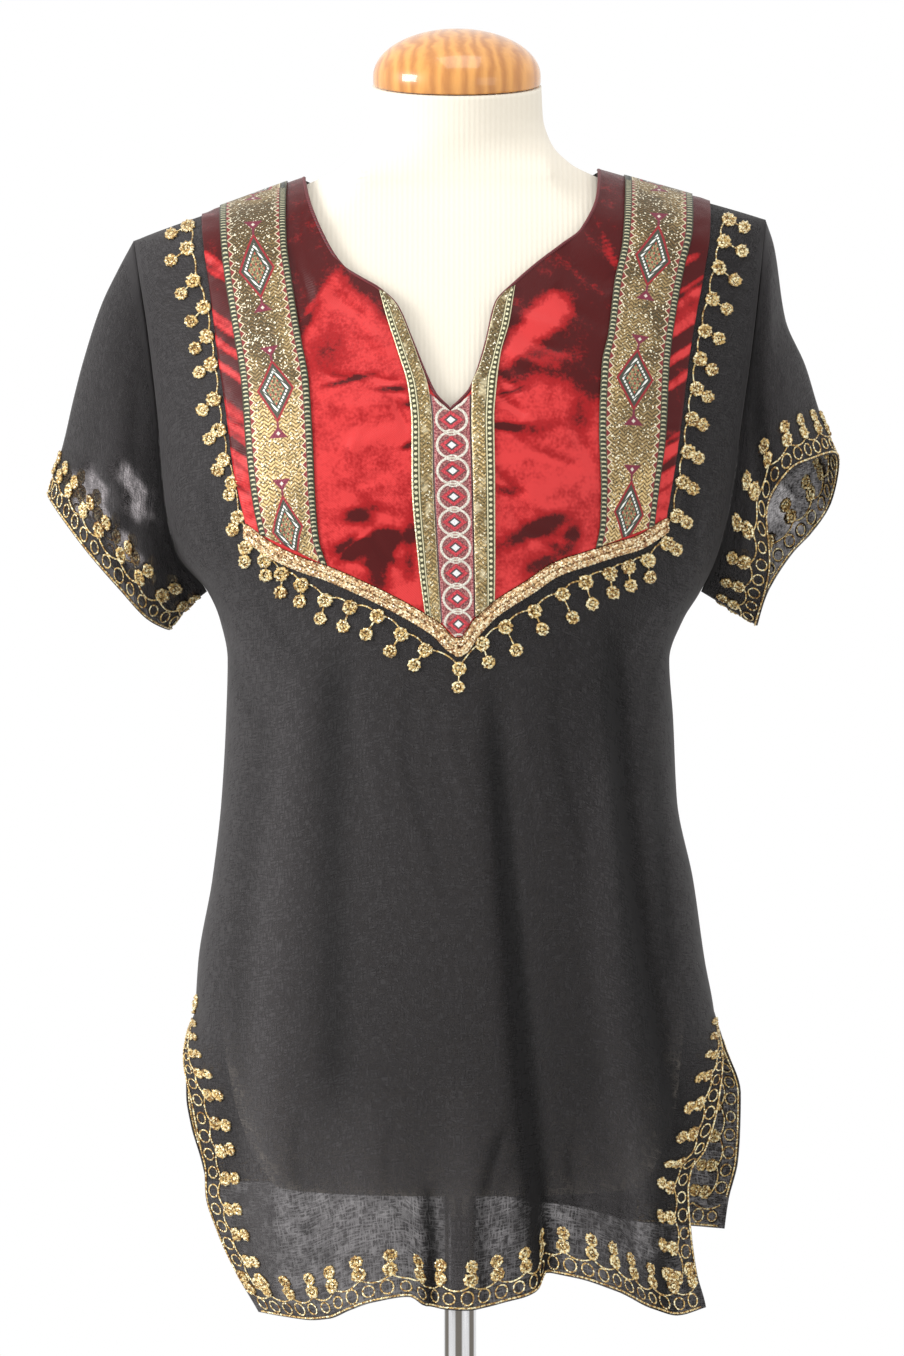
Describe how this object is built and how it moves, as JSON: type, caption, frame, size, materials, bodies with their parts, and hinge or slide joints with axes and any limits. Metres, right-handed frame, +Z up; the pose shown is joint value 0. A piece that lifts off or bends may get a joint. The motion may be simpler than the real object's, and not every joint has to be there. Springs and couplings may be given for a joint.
{
  "type": "short-sleeve tunic blouse on a limbless dress form with stand",
  "caption": "Black short-sleeve tunic blouse with a V neck, red satin yoke, gold ribbons and side slits, worn on a limbless dress form on a plate stand.",
  "frame": {"origin": "centre of the stand's base, at its underside", "axes": "+Z up, the blouse's front faces -Y, +X to the right of a viewer in front"},
  "size_m": [0.516, 0.29, 0.9903],
  "materials": {
    "voile": "thin black voile, plain open weave, slightly sheer",
    "satin": "red twill-backed satin, wrinkled",
    "gold_ribbon": "gold jacquard ribbon with dark rope edges",
    "woven_trim": "woven band in red, cream and green",
    "gold_braid": "raised metallic gold braid and chain stitch",
    "jersey": "cream cotton jersey, fine ribs, stretched on the form",
    "pine": "varnished, straight grain",
    "steel": "polished"
  },
  "bodies": {
    "root": {"front_panel": "voile", "back_panel": "voile", "sleeve_left": "voile", "sleeve_right": "voile", "yoke": "satin", "ribbon_wide_left": "gold_ribbon", "ribbon_wide_right": "gold_ribbon", "ribbon_neck_left": "gold_ribbon", "ribbon_neck_right": "gold_ribbon", "centre_trim": "woven_trim", "braid": "gold_braid", "form_torso": "jersey", "neck_cap": "pine", "pole": "steel", "pole_collar": "steel", "base_plate": "steel"}
  },
  "joints": []
}
